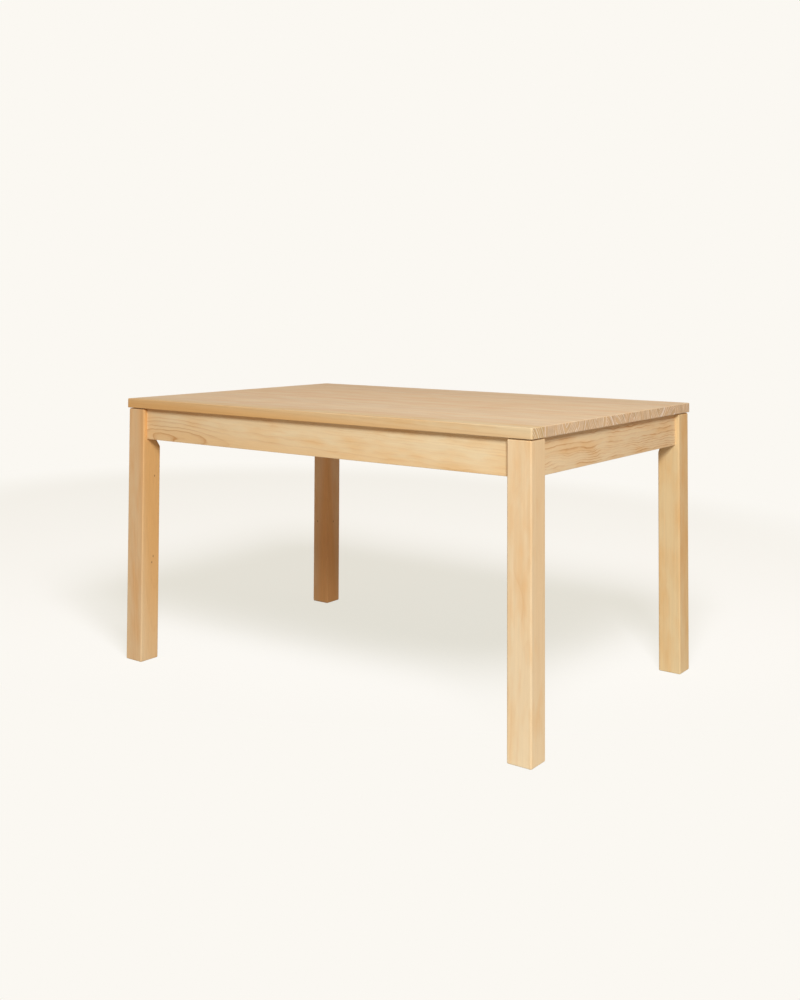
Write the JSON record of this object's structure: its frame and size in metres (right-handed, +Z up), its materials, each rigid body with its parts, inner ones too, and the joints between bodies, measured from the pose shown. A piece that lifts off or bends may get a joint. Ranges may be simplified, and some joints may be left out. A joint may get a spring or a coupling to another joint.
{
  "type": "parsons dining table",
  "caption": "Rectangular pine dining table with a thick edge-glued top, square legs flush at its corners and recessed aprons, bolted together with steel corner brackets.",
  "frame": {"origin": "on the floor under the middle of the top", "axes": "+X along the table's length, +Y along its width with the front facing -Y, +Z up"},
  "size_m": [1.372, 0.914, 0.762],
  "materials": {
    "pine_top": "clear satin lacquer over edge-glued pine staves",
    "pine_frame": "clear satin lacquer over pine",
    "pine_leg": "clear satin lacquer over pine",
    "beech_dowel": "bare fluted beech",
    "zinc_plated_steel": "bright zinc plate"
  },
  "bodies": {
    "root": {"top_stave_01": "pine_top", "top_stave_02": "pine_top", "top_stave_03": "pine_top", "top_stave_04": "pine_top", "top_stave_05": "pine_top", "top_stave_06": "pine_top", "top_stave_07": "pine_top", "top_stave_08": "pine_top", "top_stave_09": "pine_top", "top_stave_10": "pine_top", "top_stave_11": "pine_top", "top_stave_12": "pine_top", "top_stave_13": "pine_top", "top_stave_14": "pine_top", "top_stave_15": "pine_top", "top_stave_16": "pine_top", "top_stave_17": "pine_top", "front_apron": "pine_frame", "right_apron": "pine_frame", "back_apron": "pine_frame", "left_apron": "pine_frame", "leg_front_left": "pine_leg", "corner_bracket_front_left": "zinc_plated_steel", "leg_front_right": "pine_leg", "corner_bracket_front_right": "zinc_plated_steel", "leg_back_right": "pine_leg", "corner_bracket_back_right": "zinc_plated_steel", "leg_back_left": "pine_leg", "corner_bracket_back_left": "zinc_plated_steel", "hanger_bolts": "zinc_plated_steel", "bolt_washers": "zinc_plated_steel", "bolt_lock_washers": "zinc_plated_steel", "bolt_nuts": "zinc_plated_steel", "bracket_screws": "zinc_plated_steel", "top_clips": "zinc_plated_steel", "top_clip_screws": "zinc_plated_steel", "cross_rail_screws": "zinc_plated_steel", "cross_rail": "pine_frame", "cross_rail_dowels": "beech_dowel"}
  },
  "joints": []
}
